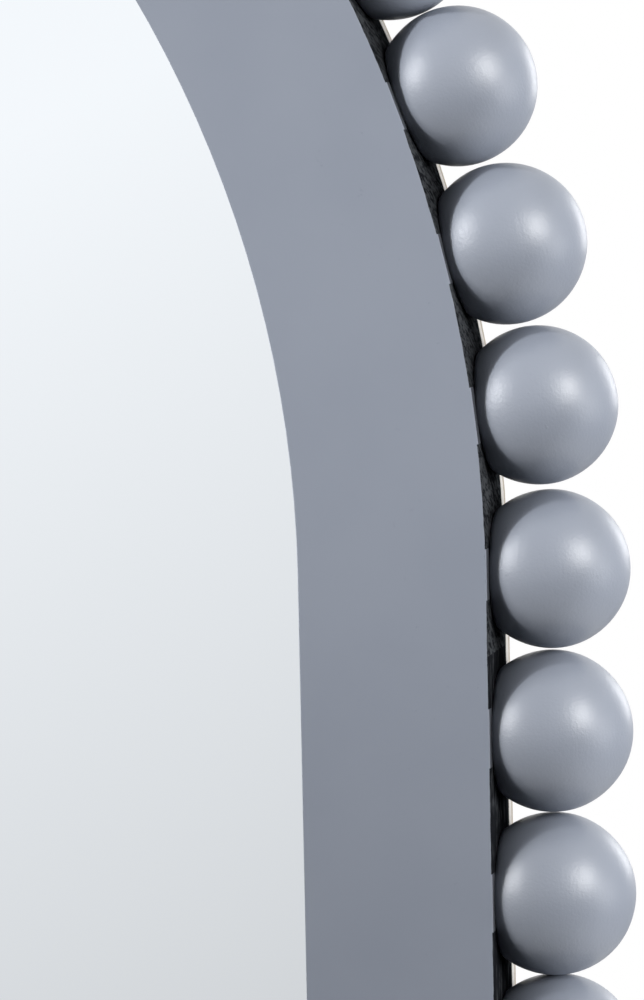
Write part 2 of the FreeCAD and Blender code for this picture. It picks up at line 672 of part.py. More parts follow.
# Hangers: a strap with a rolled knuckle, and a D-ring that swings in it
def make_strap():
    body = new_body("right_hanger_strap")
    side = f"({FIXING_RADIUS} - Sizes.strap_width / 2)"
    plate = new_sketch(body, "YZ_Plane", side)
    back, face = f"-{PANEL_BACK}", f"-({PANEL_BACK} - Sizes.strap_sheet)"
    end = f"-(Sizes.hanger_drop + {STRAP_LENGTH})"
    draw_outline(plate, [(back, PIN_LEVEL), (back, end), (face, end), (face, PIN_LEVEL)])
    sheet_pad = pad(body, plate, "Sizes.strap_width")
    low = worked(end)
    rounded = round_edges(body, sheet_pad, STRAP_END_ROUND,
                          lambda edge: abs(edge.BoundBox.ZMax - low) < SAME
                          and edge.BoundBox.YLength > edge.BoundBox.XLength)
    body.Tip = rounded
    knuckle = new_sketch(body, "YZ_Plane", side)
    draw_circles(knuckle, [(f"-{PIN_DEPTH}", PIN_LEVEL)], KNUCKLE_RADIUS)
    pad(body, knuckle, "Sizes.strap_width")
    bore = new_sketch(body, "YZ_Plane", side)
    draw_circles(bore, [(f"-{PIN_DEPTH}", PIN_LEVEL)], PIN_BORE)
    pocket(body, bore, "Sizes.strap_width", backwards=True)
    holes = wall_sketch(body, PANEL_BACK)
    draw_circles(holes, STRAP_SCREW_SPOTS, SCREW_HOLE)
    pocket(body, holes, "Sizes.strap_sheet")
    return body


def place_wire(piece, across, drop, turn):
    """Put a stretch of the ring's wire at a distance across and down from the middle of its pin."""
    piece.Placement = FreeCAD.Placement(FreeCAD.Vector(), turn)
    piece.setExpression("Placement.Base.x", f"{FIXING_RADIUS} + {across}")
    piece.setExpression("Placement.Base.y", f"-{PIN_DEPTH}")
    piece.setExpression("Placement.Base.z", f"{PIN_LEVEL} - ({drop})")
    return piece


def straight_wire(name, length, across, drop, turn):
    piece = doc.addObject("Part::Cylinder", name)
    bind(piece, Radius=WIRE_RADIUS, Height=length)
    return place_wire(piece, across, drop, turn)


def bent_wire(name, radius, across, drop, first_angle, angle):
    """A bend in the plane of the wall, from a first angle measured from +X towards +Z."""
    piece = doc.addObject("Part::Torus", name)
    bind(piece, Radius1=radius, Radius2=WIRE_RADIUS, Angle3=angle)
    upright = FreeCAD.Rotation(FreeCAD.Vector(1, 0, 0), 90)
    return place_wire(piece, across, drop, FreeCAD.Rotation(FreeCAD.Vector(0, -1, 0), first_angle) * upright)


def make_ring():
    """A D-ring of round wire: a straight pin, two small bends, two short sides and a half circle."""
    half, bend, side = "(Sizes.ring_width / 2)", "Sizes.ring_corner_radius", "Sizes.ring_side_length"
    foot = f"{bend} + {side}"
    along_x = FreeCAD.Rotation(FreeCAD.Vector(0, 1, 0), 90)
    pieces = [straight_wire("ring_pin", f"Sizes.ring_width - 2 * {bend}", f"{bend} - {half}", "0", along_x)]
    for name, sign, first_angle in (("right", "1", 0), ("left", "-1", 90)):
        across = f"{sign} * ({half} - {bend})"
        pieces.append(bent_wire(f"ring_{name}_bend", bend, across, bend, first_angle, "90"))
        pieces.append(straight_wire(f"ring_{name}_side", side, f"{sign} * {half}", foot, FreeCAD.Rotation()))
    pieces.append(bent_wire("ring_loop", half, "0", foot, 180, "180"))
    ring = doc.addObject("Part::MultiFuse", "right_hanger_ring")
    ring.Label = "right_hanger_ring"
    ring.Shapes = pieces
    return ring


def make_bumpers():
    """Soft pads that keep the mirror off the wall: two on the arch, two at the bottom corners."""
    body = new_body("wall_bumpers")
    corner = (FIXING_RADIUS, f"-(Sizes.side_length - {FIXING_INSET})")
    spots = [polar(FIXING_RADIUS, ARCH_JOINT_ANGLE), corner]
    sketch = wall_sketch(body, PANEL_BACK)
    draw_circles(sketch, spots + mirrored(spots), "(Sizes.bumper_diameter / 2)")
    pads = pad(body, sketch, PANEL_BACK, backwards=True)
    rounded = round_edges(body, pads, "Sizes.bumper_round",
                          lambda edge: abs(edge.BoundBox.YMin) < SAME and abs(edge.BoundBox.YMax) < SAME)
    body.Tip = rounded
    return body


def make_all():
    """Every sub-part. The left-hand ones mirror the right-hand ones."""
    right = [
        make_side_rail(),
        make_arch_side(),
        make_tenons(),
        make_balls(SIDE_ROW),
        make_balls(ARCH_ROW),
        make_dowels(SIDE_ROW),
        make_dowels(ARCH_ROW),
        make_side_strip(),
        make_arch_strip(),
        make_strap(),
        make_ring(),
    ]
    left = [mirror_left(part, part.Label.replace("right", "left")) for part in right]
    middle = [
        make_bottom_rail(),
        make_arch_crown(),
        make_balls(BOTTOM_ROW),
        make_balls(CROWN_ROW),
        make_dowels(BOTTOM_ROW),
        make_dowels(CROWN_ROW),
        make_glass(),
        make_bottom_strip(),
        make_back_panel(),
        make_screws("panel_screws", PANEL_SCREW_SPOTS, PANEL_BACK),
        make_screws("hanger_screws", HANGER_SCREW_SPOTS, f"({PANEL_BACK} - Sizes.strap_sheet)"),
        make_bumpers(),
    ]
    return right + left + middle


parts = make_all()
doc.recompute()
for item in doc.Objects:
    if "Invalid" in item.State or "Error" in item.State:
        raise RuntimeError(f"{item.Label} failed: {item.State}")
for item in parts:
    if item.Shape.isNull() or not item.Shape.isValid():
        raise RuntimeError(f"{item.Label} has no valid shape")

os.makedirs("parts", exist_ok=True)
for item in parts:
    item.Shape.exportStep(f"parts/{item.Label}.step")
    print(f"{item.Label}: {len(item.Shape.Solids)} solids, {item.Shape.Volume / 1000:.2f} cm3")
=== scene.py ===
# The looks of the arch-topped wall mirror and its studio, in metres. +Z is up and the mirror faces -Y
import math

import bpy
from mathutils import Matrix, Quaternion, Vector


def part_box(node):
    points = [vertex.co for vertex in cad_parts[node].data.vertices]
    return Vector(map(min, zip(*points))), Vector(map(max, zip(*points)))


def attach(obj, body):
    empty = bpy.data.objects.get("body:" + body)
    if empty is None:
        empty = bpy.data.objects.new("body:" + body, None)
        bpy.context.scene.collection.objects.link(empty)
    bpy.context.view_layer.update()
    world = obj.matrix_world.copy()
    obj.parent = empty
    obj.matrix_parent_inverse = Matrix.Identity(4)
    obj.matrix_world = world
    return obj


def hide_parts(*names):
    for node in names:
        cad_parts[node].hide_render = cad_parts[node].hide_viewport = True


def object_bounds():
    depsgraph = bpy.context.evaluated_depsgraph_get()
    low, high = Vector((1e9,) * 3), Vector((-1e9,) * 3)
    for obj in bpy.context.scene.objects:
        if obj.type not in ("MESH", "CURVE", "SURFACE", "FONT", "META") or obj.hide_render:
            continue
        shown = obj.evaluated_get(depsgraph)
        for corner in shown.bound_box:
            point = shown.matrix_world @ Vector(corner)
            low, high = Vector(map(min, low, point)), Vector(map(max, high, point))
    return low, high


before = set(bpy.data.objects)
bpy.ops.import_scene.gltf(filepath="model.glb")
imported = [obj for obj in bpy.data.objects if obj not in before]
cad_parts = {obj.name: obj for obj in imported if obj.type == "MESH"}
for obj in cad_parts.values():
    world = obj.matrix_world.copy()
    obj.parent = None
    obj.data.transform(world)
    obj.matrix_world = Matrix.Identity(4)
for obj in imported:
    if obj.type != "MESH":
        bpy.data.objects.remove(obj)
cad_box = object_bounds()

MM = 0.001

# Sizes repeated from the construction
BALL_RADIUS = 19.0 * MM
SEAT_RADIUS = 14.0 * MM
SEAT_OFFSET = math.sqrt(BALL_RADIUS ** 2 - SEAT_RADIUS ** 2)
RIM_RADIUS = 320.0 * MM
BAND_WIDTH = 45.0 * MM
SIDE_LENGTH = 634.0 * MM
FRONT = -39.0 * MM
PANEL_BACK = -5.0 * MM
BALL_MIDDLE = (FRONT + PANEL_BACK) / 2
SCREW_RADIUS = 1.75 * MM
HEAD_RADIUS = 3.5 * MM
HEAD_HEIGHT = 2.2 * MM

# Balls: counts and spacings of the rows
ARCH_SIDE_BALLS = 9
CROWN_BALLS = 10
SIDE_BALLS = 16
BOTTOM_BALLS = 17
ARCH_STEP = math.pi / (2 * ARCH_SIDE_BALLS + CROWN_BALLS - 1)
BALL_LEAST_GAP = 0.2 * MM
CORNER_OFFSET = (2 * BALL_RADIUS + BALL_LEAST_GAP) / math.sqrt(2) - SEAT_OFFSET
SIDE_PITCH = (SIDE_LENGTH - CORNER_OFFSET) / SIDE_BALLS
BOTTOM_SPAN = 2 * (RIM_RADIUS - CORNER_OFFSET)
BOTTOM_PITCH = BOTTOM_SPAN / (BOTTOM_BALLS - 1)

# How the balls differ: in size as shares of the ball's radius, in place along the row, and in roundness
BALL_SIZES = (0.994, 1.030)
BOTTOM_SIZES = (0.988, 1.008)
BALL_WANDER = 0.22 * MM
BALL_UNEVENNESS = 0.4 * MM
UNEVENNESS_SCALE = 45.0
ROW_SEEDS = {"balls_right_side": 2254, "balls_left_side": 20, "balls_arch_right": 80, "balls_arch_left": 40,
             "balls_arch_crown": 50, "balls_bottom": 60}

# How finely a ball is divided, and how near the rim its faces count as its seat
BALL_SUBDIVISIONS = 5
SEAT_TOLERANCE = 0.001 * MM

# The tongue of paint under each ball: its size across the rim, back from the front and along the rim
TONGUE_SIZE = (0.40 * MM, 3.6 * MM, 13.2 * MM)
TONGUE_LENGTHS = (0.8, 1.1)
TONGUE_RISE = 0.03 * MM
TONGUE_INSET = 0.03 * MM

# Screws: the cross recess, and how far and how steeply the crown of the head draws in
RECESS_LENGTH = 3.9 * MM
RECESS_WIDTH = 0.95 * MM
RECESS_DEPTH = 1.3 * MM
CROWN_PULL = 0.42
CROWN_POWER = 5.0

# Screws: how finely they are divided, the seeds of their turns, and the reach of one from any of its corners
HEAD_SIDES = 40
HEAD_RINGS = 6
SHANK_SIDES = 20
SCREW_SEEDS = {"panel_screws": 3, "hanger_screws": 4}
SCREW_REACH = 3 * HEAD_RADIUS

# Colours, as linear light
PAINT = (0.250, 0.275, 0.329, 1)
PAINT_PALE = (0.262, 0.287, 0.341, 1)
# Painted shade: a dark colour on the tongues' sides in place of the shade in the crevice between the band's
# edge and each ball
TONGUE_PAINTED_SHADE = (0.036, 0.041, 0.052, 1)
STAIN = (0.0085, 0.0092, 0.0110, 1)
STAIN_PALE = (0.043, 0.046, 0.050, 1)
SILVER = (0.907, 0.942, 0.980, 1)
SILVER_DULL = (0.885, 0.925, 0.955, 1)
BOARD = (0.60, 0.535, 0.445, 1)
BOARD_DARK = (0.45, 0.39, 0.31, 1)
CORE = (0.92, 0.89, 0.84, 1)
CORE_DARK = (0.78, 0.745, 0.69, 1)
BEECH = ((0.56, 0.39, 0.23, 1), (0.40, 0.25, 0.13, 1))
PINE = ((0.66, 0.50, 0.30, 1), (0.46, 0.29, 0.13, 1))
NICKEL = ((0.70, 0.68, 0.64, 1), (0.42, 0.40, 0.37, 1))
ZINC = ((0.66, 0.67, 0.66, 1), (0.38, 0.38, 0.36, 1))
RUBBER = ((0.030, 0.030, 0.032, 1), (0.075, 0.075, 0.078, 1))
FLOOR_GREY = (0.86, 0.86, 0.86, 1)
WHITE = (1, 1, 1, 1)

# Paint: its gloss and orange peel on the band and on the balls, and its roughness
BAND_GLOSS = 0.4
BALL_GLOSS = 1.0
BAND_PEEL_SCALE = 650.0
BALL_PEEL_SCALE = 1500.0
PAINT_ROUGHNESS = 0.355
TONGUE_ROUGHNESS = 0.4

# Where the paint of the front ends behind the front edge on the frame, raggedly; and where the tongues'
# paint gives way to painted shade behind their front
FRAME_PAINT_END = (FRONT + 0.08 * MM, FRONT + 0.14 * MM)
RAGGEDNESS = 0.12 * MM
TONGUE_SHADE_START = (FRONT + 0.04 * MM, FRONT + 0.08 * MM)

# Where the brown face of the back panel gives way to its pale core
BOARD_FACE_END = (PANEL_BACK - 2.4 * MM, PANEL_BACK - 1.6 * MM)

# Roughness of the plated pieces
NICKEL_ROUGHNESS = 0.22
ZINC_ROUGHNESS = 0.26


class Wire:
    """A socket of a node tree. Sums and products on wires add Math nodes to the tree."""

    def __init__(self, bench, socket):
        self.bench = bench
        self.socket = socket

    def __add__(self, other):
        return self.bench.maths("ADD", self, other)

    def __sub__(self, other):
        return self.bench.maths("SUBTRACT", self, other)

    def __rsub__(self, other):
        return self.bench.maths("SUBTRACT", other, self)

    def __mul__(self, other):
        return self.bench.maths("MULTIPLY", self, other)

    def __truediv__(self, other):
        return self.bench.maths("DIVIDE", self, other)

    def __rtruediv__(self, other):
        return self.bench.maths("DIVIDE", other, self)

    def __neg__(self):
        return self * -1

    __radd__ = __add__
    __rmul__ = __mul__


class Bench:
    """A node tree in the making, of a material, the world or a shape."""

    def __init__(self, tree):
        self.tree = tree

    def add(self, kind, settings=None, inputs=None, output=0):
        """Add a node: its settings first, then its sockets' values or wires. Gives one of its outputs."""
        node = self.tree.nodes.new(kind)
        for name, value in (settings or {}).items():
            if name == "stops":
                self.set_stops(node.color_ramp, value)
            else:
                setattr(node, name, value)
        for key, value in (inputs or {}).items():
            if isinstance(value, Wire):
                self.tree.links.new(value.socket, node.inputs[key])
            else:
                node.inputs[key].default_value = value
        return Wire(self, node.outputs[output]) if node.outputs else node

    @staticmethod
    def set_stops(ramp, stops):
        """Give a colour ramp its positions and colours."""
        while len(ramp.elements) < len(stops):
            ramp.elements.new(1.0)
        for element, (position, colour) in zip(ramp.elements, stops):
            element.position = position
            element.color = colour

    def maths(self, operation, *values):
        return self.add("ShaderNodeMath", {"operation": operation}, dict(enumerate(values)))

    def vector_maths(self, operation, *values, output=0):
        """Work on vectors. Output 0 is a vector, and output 1 a number."""
        return self.add("ShaderNodeVectorMath", {"operation": operation}, dict(enumerate(values)), output)

    def vector(self, x, y, z):
        return self.add("ShaderNodeCombineXYZ", None, {"X": x, "Y": y, "Z": z})

    def axis(self, place, index):
        """One of a vector's three numbers."""
        return self.add("ShaderNodeSeparateXYZ", None, {0: place}, index)

    def length(self, vector):
        return self.vector_maths("LENGTH", vector, output=1)

    def blend(self, factor, first, second):
        """Mix two colours."""
        return self.add("ShaderNodeMix", {"data_type": "RGBA"}, {0: factor, 6: first, 7: second}, 2)

    def ease(self, value, low, high, start=0.0, end=1.0):
        """Start below low, end above high, and a smooth step between."""
        return self.add("ShaderNodeMapRange", {"interpolation_type": "SMOOTHSTEP"},
                        {"Value": value, "From Min": low, "From Max": high, "To Min": start, "To Max": end})

    def noise(self, place, scale, detail=2.0, roughness=0.5):
        return self.add("ShaderNodeTexNoise", None,
                        {"Vector": place, "Scale": scale, "Detail": detail, "Roughness": roughness})

    def drawn_noise(self, place, scales, turn=(0, 0, 0), detail=2.0, roughness=0.5):
        """Noise with a scale of its own along each axis, after a turn."""
        turned = self.add("ShaderNodeMapping", {"vector_type": "TEXTURE"},
                          {"Vector": place, "Rotation": turn})
        return self.noise(self.vector_maths("MULTIPLY", turned, scales), 1.0, detail, roughness)


class Finish(Bench):
    """A material in the making."""

    def __init__(self, name):
        self.material = bpy.data.materials.new(name)
        self.material.use_nodes = True
        super().__init__(self.material.node_tree)
        self.tree.nodes.clear()

    def place(self):
        return self.add("ShaderNodeTexCoord", output="Object")

    def bump(self, height, distance, strength):
        return self.add("ShaderNodeBump", None,
                        {"Height": height, "Distance": distance, "Strength": strength})

    def skin(self, **sockets):
        """A Principled surface, with its sockets named in lower case."""
        labels = {name: name.replace("_", " ").title().replace("Ior", "IOR") for name in sockets}
        return self.add("ShaderNodeBsdfPrincipled", None, {labels[name]: sockets[name] for name in sockets})

    def mix_surfaces(self, factor, first, second):
        """Mix two surfaces."""
        return self.add("ShaderNodeMixShader", None, {0: factor, 1: first, 2: second})

    def show(self, surface):
        """End the material in a surface."""
        self.add("ShaderNodeOutputMaterial", None, {"Surface": surface})
        return self.material


def satin_paint(finish, place, peel_scale):
    """Sprayed satin paint, faintly clouded, with an orange peel and specks: colour, roughness and height."""
    clouding = finish.noise(place, scale=30.0, detail=3.0)
    speck_spots = finish.add("ShaderNodeTexVoronoi", None, {"Vector": place, "Scale": 260.0})
    rare = finish.ease(finish.noise(place, scale=70.0, detail=1.0), 0.62, 0.66)
    speck = finish.ease(speck_spots, 0.05, 0.09, start=1.0, end=0.0) * rare
    colour = finish.blend(finish.ease(clouding, 0.3, 0.7) + speck * 0.8, PAINT, PAINT_PALE)
    peel = finish.noise(place, peel_scale, detail=2.0, roughness=0.55)
    roughness = PAINT_ROUGHNESS + clouding * 0.03 + peel * 0.03
    return colour, roughness, peel + speck * 0.8


def wood_turn(degrees, slope=0.0):
    """The turn of marks in the wood: from X about the Y axis, sloping back into the wood by an angle."""
    round_the_frame = Quaternion((0, 1, 0), math.radians(degrees))
    into_the_wood = Quaternion((0, 0, 1), math.radians(slope))
    return (round_the_frame @ into_the_wood).to_euler()


# Grain runs along the straight lengths, and saw marks slope across the edge of the arch
UPRIGHT = wood_turn(90)
LEVEL = wood_turn(0)
ARCH_SIDE_TURN = 61.67
SAW_SLOPE = 66
SAWN_RIGHT = wood_turn(ARCH_SIDE_TURN, SAW_SLOPE)
SAWN_CROWN = wood_turn(0, SAW_SLOPE)
SAWN_LEFT = wood_turn(180 - ARCH_SIDE_TURN, SAW_SLOPE)

# Both kinds of marks: scales along and across them, the share that stays dark and the share of long streaks
GRAIN = (170.0, 420.0, 0.48, 0.4)
SAW_MARKS = (300.0, 850.0, 0.40, 0.1)

# Streaks against fibres: their scales along and across, as shares. Then how gently the marks turn pale
STREAK_ALONG = 0.18
STREAK_ACROSS = 1.25
MARK_SOFTNESS = 0.17


def frame_finish(name, turn, marks):
    """Satin paint on the front and the inner edge, and a near-black stain on the wood of the outer edge."""
    finish = Finish(name)
    place = finish.place()
    paint, roughness, peel = satin_paint(finish, place, BAND_PEEL_SCALE)
    painted = finish.skin(base_color=paint, roughness=roughness, specular_ior_level=BAND_GLOSS,
                          normal=finish.bump(peel, 0.02 * MM, 0.5))

    along, across, dark_share, streak_share = marks
    fibres = finish.drawn_noise(place, (along, across, across), turn, detail=3.0, roughness=0.7)
    streak_scales = (along * STREAK_ALONG, across * STREAK_ACROSS, across * STREAK_ACROSS)
    streaks = finish.drawn_noise(place, streak_scales, turn, detail=1.0, roughness=0.6)
    grain = fibres * (1 - streak_share) + streaks * streak_share
    stain = finish.blend(finish.ease(grain, dark_share, dark_share + MARK_SOFTNESS), STAIN, STAIN_PALE)
    stained = finish.skin(base_color=stain, roughness=0.75, specular_ior_level=0.0,
                          normal=finish.bump(grain, 0.12 * MM, 0.6))

    ragged = finish.noise(place, scale=420.0, detail=3.0, roughness=0.6)
    behind = finish.ease(finish.axis(place, 1) + ragged * RAGGEDNESS, *FRAME_PAINT_END)
    outside = finish.maths("GREATER_THAN", past_band_middle(finish, place), 0.0)
    return finish.show(finish.mix_surfaces(behind * outside, painted, stained))


def past_band_middle(finish, place):
    """How far a place lies outside the middle of the band, on the arch, the sides or the bottom."""
    height = finish.axis(place, 2)
    above_springing = finish.maths("MAXIMUM", height, 0.0)
    from_centre = finish.length(finish.vector(finish.axis(place, 0), 0.0, above_springing))
    past_arch = from_centre - (RIM_RADIUS - BAND_WIDTH / 2)
    past_bottom = -height - (SIDE_LENGTH - BAND_WIDTH / 2)
    return finish.maths("MAXIMUM", past_arch, past_bottom)


def ball_finish():
    """Satin paint on the balls, with faint turning lines round each ball's own axis, and on the tongues,
    whose sides behind their front are darkened as painted shade.
    """
    finish = Finish("ball_paint")
    place = finish.place()
    on_ball = finish.add("ShaderNodeAttribute", {"attribute_name": "on_ball"}, output="Vector")
    tone = finish.add("ShaderNodeAttribute", {"attribute_name": "ball_tone"}, output="Fac")
    paint, roughness, peel = satin_paint(finish, place, BALL_PEEL_SCALE)
    paint = finish.blend(tone * 0.5, paint, PAINT_PALE)
    lines = finish.drawn_noise(on_ball, (900.0, 90.0, 90.0), detail=2.0, roughness=0.6)

    # A tongue has no place on a ball, so its distance from the ball's middle is nought
    tongue = finish.ease(finish.length(on_ball), 1 * MM, 2 * MM, start=1.0, end=0.0)
    # Behind its front the tongue gets painted shade, a dark colour standing in for the shade in the crevice
    # by the ball
    shaded_side = tongue * finish.ease(finish.axis(place, 1), *TONGUE_SHADE_START)
    return finish.show(finish.skin(
        base_color=finish.blend(shaded_side, paint, TONGUE_PAINTED_SHADE),
        roughness=roughness + lines * 0.04 - 0.02 + tongue * TONGUE_ROUGHNESS,
        specular_ior_level=BALL_GLOSS,
        normal=finish.bump(peel * 0.8 + lines * 0.4, 0.10 * MM, 0.7),
    ))


def mirror_finish():
    """Silvered glass, with the faintest haze of dust."""
    finish = Finish("silvered_glass")
    haze = finish.noise(finish.place(), scale=9.0, detail=4.0, roughness=0.6)
    return finish.show(finish.skin(
        base_color=finish.blend(haze * 0.3, SILVER, SILVER_DULL),
        metallic=1.0,
        roughness=0.004 + haze * 0.012,
    ))


def board_finish():
    """Raw fibreboard: a brown sanded face, and a pale core that shows on its cut edge."""
    finish = Finish("raw_fibreboard")
    place = finish.place()
    flecks = finish.noise(place, scale=1300.0, detail=3.0, roughness=0.7)
    clouds = finish.noise(place, scale=14.0, detail=4.0, roughness=0.6)
    sanding = finish.drawn_noise(place, (7.0, 60.0, 900.0))
    mixture = flecks * 0.45 + clouds * 0.35 + sanding * 0.2
    face = finish.blend(finish.ease(mixture, 0.36, 0.66), BOARD_DARK, BOARD)
    edge = finish.blend(finish.ease(flecks, 0.3, 0.7), CORE_DARK, CORE)
    core = finish.ease(finish.axis(place, 1), *BOARD_FACE_END, start=1.0, end=0.0)
    return finish.show(finish.skin(
        base_color=finish.blend(core, face, edge),
        roughness=0.80 + flecks * 0.12,
        normal=finish.bump(flecks * 0.6 + sanding * 0.4, 0.15 * MM, 0.5),
    ))


def timber_finish(name, pale, dark, grain_turn):
    """Planed timber, with its grain along X before the turn."""
    finish = Finish(name)
    place = finish.place()
    rings = finish.drawn_noise(place, (6.0, 160.0, 160.0), grain_turn, detail=3.0)
    fibres = finish.drawn_noise(place, (70.0, 1600.0, 1600.0), grain_turn)
    grain = rings * 0.6 + fibres * 0.4
    return finish.show(finish.skin(
        base_color=finish.blend(finish.ease(grain, 0.35, 0.65), dark, pale),
        roughness=0.55 + fibres * 0.15,
        normal=finish.bump(grain, 0.08 * MM, 0.5),
    ))


def plated_finish(name, bright, dull, roughness):
    """Bright plated steel, with fine drawing lines, dull patches and small pits."""
    finish = Finish(name)
    place = finish.place()
    lines = finish.drawn_noise(place, (2600.0, 2600.0, 160.0))
    patches = finish.noise(place, scale=240.0, detail=4.0, roughness=0.6)
    worn = finish.ease(patches, 0.45, 0.72)
    return finish.show(finish.skin(
        base_color=finish.blend(worn, bright, dull),
        metallic=1.0,
        roughness=roughness + lines * 0.10 + worn * 0.14,
        normal=finish.bump(lines * 0.5 + patches * 0.5, 0.03 * MM, 0.5),
    ))


def rubber_finish():
    """Soft dark rubber with a dusty bloom."""
    finish = Finish("soft_rubber")
    place = finish.place()
    bloom = finish.noise(place, scale=420.0, detail=4.0, roughness=0.65)
    grit = finish.noise(place, scale=2600.0)
    return finish.show(finish.skin(
        base_color=finish.blend(finish.ease(bloom, 0.4, 0.75), *RUBBER),
        roughness=0.72 + grit * 0.15,
        normal=finish.bump(grit * 0.5 + bloom * 0.5, 0.06 * MM, 0.6),
    ))


def dress(names, material):
    """Give CAD nodes a finish."""
    for name in names:
        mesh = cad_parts[name].data
        mesh.materials.clear()
        mesh.materials.append(material)


def dress_solids():
    """The pieces whose solids are shown as they are."""
    dress(["right_side_rail", "left_side_rail"], frame_finish("frame_paint_upright", UPRIGHT, GRAIN))
    dress(["bottom_rail"], frame_finish("frame_paint_level", LEVEL, GRAIN))
    dress(["arch_right"], frame_finish("frame_paint_right", SAWN_RIGHT, SAW_MARKS))
    dress(["arch_crown"], frame_finish("frame_paint_crown", SAWN_CROWN, SAW_MARKS))
    dress(["arch_left"], frame_finish("frame_paint_left", SAWN_LEFT, SAW_MARKS))
    dress(["mirror_glass"], mirror_finish())
    dress(["back_panel"], board_finish())
    dowels = [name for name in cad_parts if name.startswith("dowels_")]
    dress(dowels, timber_finish("beech_dowel", *BEECH, LEVEL))
    dress(["right_frame_tenons", "left_frame_tenons"], timber_finish("beech_tenon", *BEECH, UPRIGHT))
    strips = [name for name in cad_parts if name.startswith("glazing_strip_")]
    dress(strips, timber_finish("pine_strip", *PINE, UPRIGHT))
    nickel = plated_finish("nickel_plate", *NICKEL, NICKEL_ROUGHNESS)
    dress(["right_hanger_strap", "left_hanger_strap", "right_hanger_ring", "left_hanger_ring"], nickel)
    dress(["wall_bumpers"], rubber_finish())


class Shape(Bench):
    """A Geometry Nodes tree in the making, with named inputs."""

    def __init__(self, name, inputs):
        tree = bpy.data.node_groups.new(name, "GeometryNodeTree")
        super().__init__(tree)
        tree.interface.new_socket("Geometry", in_out="INPUT", socket_type="NodeSocketGeometry")
        for label, kind in inputs.items():
            tree.interface.new_socket(label, in_out="INPUT", socket_type=f"NodeSocket{kind}")
        tree.interface.new_socket("Geometry", in_out="OUTPUT", socket_type="NodeSocketGeometry")
        self.entry = tree.nodes.new("NodeGroupInput")

    def given(self, label):
        """One of the named inputs."""
        return Wire(self, self.entry.outputs[label])

    def end(self, geometry):
        """Realize the shape, give it its material and end the tree."""
        real = self.add("GeometryNodeRealizeInstances", None, {"Geometry": geometry})
        finished = self.add("GeometryNodeSetMaterial", None,
                            {"Geometry": real, "Material": self.given("Material")})
        self.add("NodeGroupOutput", None, {0: finished})

    def join(self, *geometries):
        """Join geometries into one."""
        node = self.tree.nodes.new("GeometryNodeJoinGeometry")
        for geometry in geometries:
            self.tree.links.new(geometry.socket, node.inputs[0])
        return Wire(self, node.outputs[0])

    def chance(self, low, high, seed):
        """A random number for each point."""
        return self.add("FunctionNodeRandomValue", {"data_type": "FLOAT"},
                        {2: low, 3: high, "Seed": seed}, 1)

    def scaled(self, vector, factor):
        return self.add("ShaderNodeVectorMath", {"operation": "SCALE"}, {0: vector, "Scale": factor})

    def sum_of(self, first, *others):
        """Add vectors."""
        for other in others:
            first = self.vector_maths("ADD", first, other)
        return first

    def keep(self, geometry, name, kind, domain, value):
        """Store a named attribute on a geometry."""
        return self.add("GeometryNodeStoreNamedAttribute", {"data_type": kind, "domain": domain},
                        {"Geometry": geometry, "Name": name, "Value": value})

    def set_points(self, geometry, **places):
        """Give a geometry's points a position or an offset."""
        inputs = {name.title(): value for name, value in places.items()}
        return self.add("GeometryNodeSetPosition", None, {"Geometry": geometry, **inputs})

    def shifted(self, geometry, move):
        return self.add("GeometryNodeTransform", None, {"Geometry": geometry, "Translation": move})

    def block(self, size):
        return self.add("GeometryNodeMeshCube", None, {"Size": size})

    def cut(self, mesh, cutter):
        return self.add("GeometryNodeMeshBoolean", {"operation": "DIFFERENCE"},
                        {"Mesh 1": mesh, "Mesh 2": cutter})


def make(name, shape, values, points=()):
    """Run a shape's tree on some points and keep what it makes as a plain mesh."""
    start = bpy.data.meshes.new(name)
    start.from_pydata([tuple(point) for point in points], [], [])
    piece = bpy.data.objects.new(name, start)
    bpy.context.scene.collection.objects.link(piece)
    modifier = piece.modifiers.new("shape", "NODES")
    modifier.node_group = shape.tree
    for item in shape.tree.interface.items_tree:
        if item.name in values:
            modifier[item.identifier] = values[item.name]
    graph = bpy.context.evaluated_depsgraph_get()
    made = bpy.data.meshes.new_from_object(piece.evaluated_get(graph), preserve_all_data_layers=True,
                                           depsgraph=graph)
    piece.modifiers.clear()
    piece.data = made
    made.name = name
    return piece


def ball_row_shape():
    """A row of balls along a line or an arc, with a tongue of paint under each at the front edge."""
    shape = Shape("ball_row", {
        "Count": "Int", "First Angle": "Float", "Angle Step": "Float", "Start": "Vector", "Step": "Vector",
        "Rim Level": "Float", "Outer Level": "Float", "Ball Radius": "Float", "Least Size": "Float",
        "Greatest Size": "Float", "Wander": "Float", "Unevenness": "Float", "Tongue Size": "Vector",
        "Tongue Place": "Vector", "Seed": "Int", "Material": "Material"})
    index = shape.add("GeometryNodeInputIndex")
    angle = shape.given("First Angle") + index * shape.given("Angle Step")
    outward = shape.vector(shape.maths("COSINE", angle), 0.0, shape.maths("SINE", angle))
    tangent = shape.vector(-shape.maths("SINE", angle), 0.0, shape.maths("COSINE", angle))
    wander = shape.chance(-shape.given("Wander"), shape.given("Wander"), shape.given("Seed") + 1)
    along_row = shape.scaled(shape.given("Step"), index)
    start = shape.sum_of(shape.given("Start"), along_row, shape.scaled(tangent, wander))

    balls = seated_balls(shape, uneven_balls(shape, start, angle, outward))
    shape.end(shape.join(balls, paint_tongues(shape, start, angle, outward)))
    return shape


